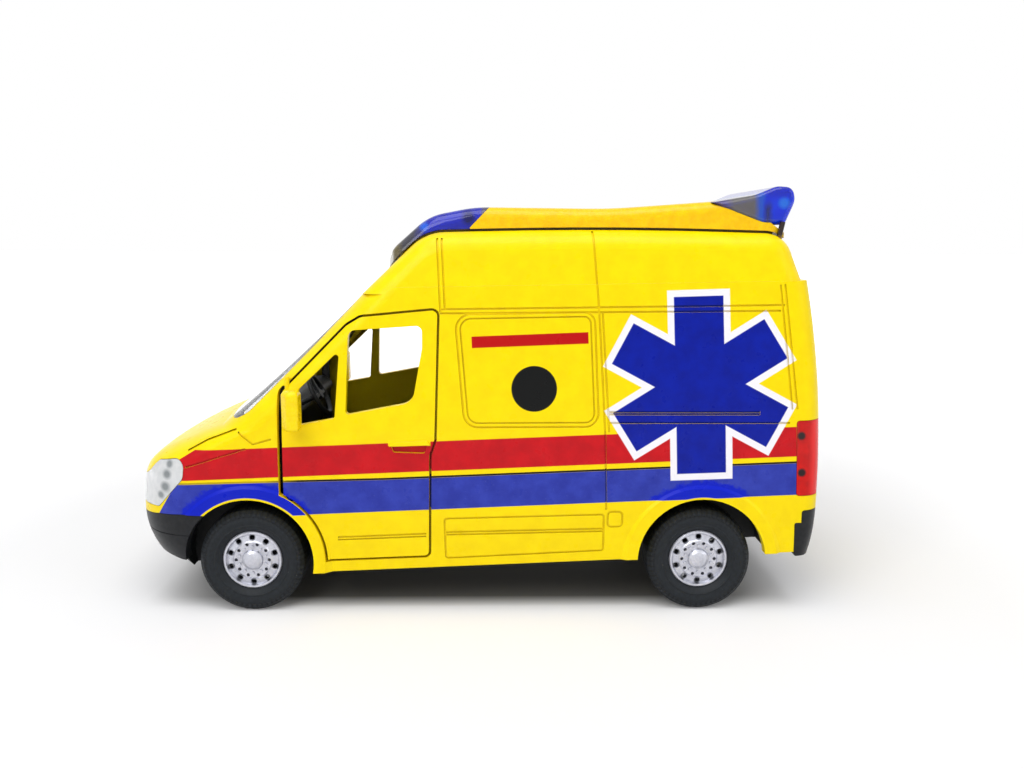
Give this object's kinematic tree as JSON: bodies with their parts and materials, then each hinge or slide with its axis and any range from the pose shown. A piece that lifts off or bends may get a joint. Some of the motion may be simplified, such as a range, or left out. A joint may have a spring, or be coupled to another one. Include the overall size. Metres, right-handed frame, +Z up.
{
  "type": "toy ambulance van",
  "caption": "Die-cast toy high-roof ambulance van with opening cab doors and rear door leaves, a roof fairing with blue beacon lenses, and free-rolling wheel sets.",
  "frame": {"origin": "on the ground, below the middle of the overall length, on the middle plane", "axes": "+X forward, +Y to the vehicle's left, +Z up"},
  "size_m": [0.1246, 0.0584, 0.0759],
  "materials": {
    "yellow_enamel": "glossy yellow enamel on a zinc casting",
    "yellow_plastic": "glossy yellow moulded plastic",
    "clear_glazing": "clear polished plastic",
    "lamp_glass": "clear polished plastic",
    "reflector": "bright metallised plastic",
    "red_lens": "translucent red plastic",
    "blue_lens": "translucent blue plastic",
    "black_trim": "satin black moulded plastic",
    "black_plastic": "matt black moulded plastic",
    "silver_rim": "silver coated plastic",
    "tyre_rubber": "soft black rubber with a satin sheen",
    "steel": "bright drawn steel"
  },
  "bodies": {
    "body": {"body_shell": "yellow_enamel", "windscreen": "clear_glazing", "headlamp_left": "lamp_glass", "headlamp_right": "lamp_glass", "headlamp_reflector_left": "reflector", "headlamp_reflector_right": "reflector", "tail_lamp_left": "red_lens", "tail_lamp_right": "red_lens", "front_bumper": "black_trim", "rear_bumper": "black_trim", "grille": "black_trim", "roof_fairing": "yellow_plastic", "front_lens": "blue_lens", "rear_lens": "blue_lens", "chassis": "black_plastic", "cab_interior": "black_plastic", "steering_wheel": "black_plastic"},
    "door_left": {"door_left": "yellow_enamel", "mirror_left": "yellow_plastic"},
    "door_right": {"door_right": "yellow_enamel", "mirror_right": "yellow_plastic"},
    "rear_door_left": {"rear_door_left": "yellow_enamel"},
    "rear_door_right": {"rear_door_right": "yellow_enamel"},
    "front_wheelset": {"front_axle": "steel", "rim_front_left": "silver_rim", "tyre_front_left": "tyre_rubber", "rim_front_right": "silver_rim", "tyre_front_right": "tyre_rubber"},
    "rear_wheelset": {"rear_axle": "steel", "rim_rear_left": "silver_rim", "tyre_rear_left": "tyre_rubber", "rim_rear_right": "silver_rim", "tyre_rear_right": "tyre_rubber"}
  },
  "joints": [
    {"name": "front_wheelset_spin", "type": "hinge", "parent": "body", "child": "front_wheelset", "pos_m": [0.0398, 0, 0.0094], "axis": [0, 1, 0], "continuous": true},
    {"name": "rear_wheelset_spin", "type": "hinge", "parent": "body", "child": "rear_wheelset", "pos_m": [-0.0404, 0, 0.0094], "axis": [0, 1, 0], "continuous": true},
    {"name": "door_left_hinge", "type": "hinge", "parent": "body", "child": "door_left", "pos_m": [0.0327, 0.0243, 0.0222], "axis": [0, 0.0626, -0.998], "range_deg": [0, 60]},
    {"name": "door_right_hinge", "type": "hinge", "parent": "body", "child": "door_right", "pos_m": [0.0327, -0.0243, 0.0222], "axis": [0, 0.0626, 0.998], "range_deg": [0, 60]},
    {"name": "rear_door_left_hinge", "type": "hinge", "parent": "body", "child": "rear_door_left", "pos_m": [-0.06117, 0.0168, 0.0206], "axis": [-0.0614, 0, -0.9981], "range_deg": [0, 85]},
    {"name": "rear_door_right_hinge", "type": "hinge", "parent": "body", "child": "rear_door_right", "pos_m": [-0.06117, -0.0168, 0.0206], "axis": [0.0614, 0, 0.9981], "range_deg": [0, 85]}
  ]
}
